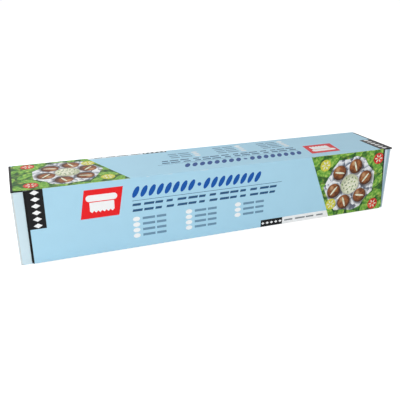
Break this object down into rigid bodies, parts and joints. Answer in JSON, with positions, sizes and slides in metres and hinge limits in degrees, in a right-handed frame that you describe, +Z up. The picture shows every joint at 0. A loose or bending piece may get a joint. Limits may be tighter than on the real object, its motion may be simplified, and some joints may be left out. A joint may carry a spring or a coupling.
{
  "type": "aluminium foil roll in a dispenser carton",
  "caption": "Long square folded carton with a hinged lid, a toothed tear strip on its front flap and a wound roll of aluminium foil inside.",
  "frame": {"origin": "middle of the base, on the surface that the carton stands on", "axes": "+X along the carton, -Y out of the front flap, +Z up, lid closed"},
  "size_m": [0.462, 0.084, 0.084],
  "materials": {
    "board": "light blue print on white-lined fluted board, satin",
    "steel": "bright rolled strip",
    "foil": "bright wound foil",
    "kraft": "spiral-wound brown card",
    "ink_black": "dark print, satin",
    "ink_red": "red print, satin",
    "ink_blue": "strong blue print, satin",
    "ink_grey": "grey-blue print, satin",
    "ink_white": "white of the paper, satin",
    "ink_leaf": "dark green print, satin",
    "ink_lime": "fresh green print, satin",
    "ink_silver": "pale grey print, satin",
    "ink_brown": "brown print, satin",
    "ink_cream": "cream print, satin",
    "ink_lemon": "yellow print, satin"
  },
  "bodies": {
    "base": {"tray": "board", "foil_roll": "foil", "core": "kraft"},
    "cover": {"lid": "board", "cutter_strip": "steel", "ink_black": "ink_black", "ink_red": "ink_red", "ink_blue": "ink_blue", "ink_grey": "ink_grey", "ink_white": "ink_white", "ink_leaf": "ink_leaf", "ink_lime": "ink_lime", "ink_silver": "ink_silver", "ink_brown": "ink_brown", "ink_cream": "ink_cream", "ink_lemon": "ink_lemon"}
  },
  "joints": [
    {"name": "lid_fold", "type": "hinge", "parent": "base", "child": "cover", "pos_m": [0, 0.04202, 0.0838], "axis": [-1, 0, 0], "range_deg": [0, 180]}
  ]
}
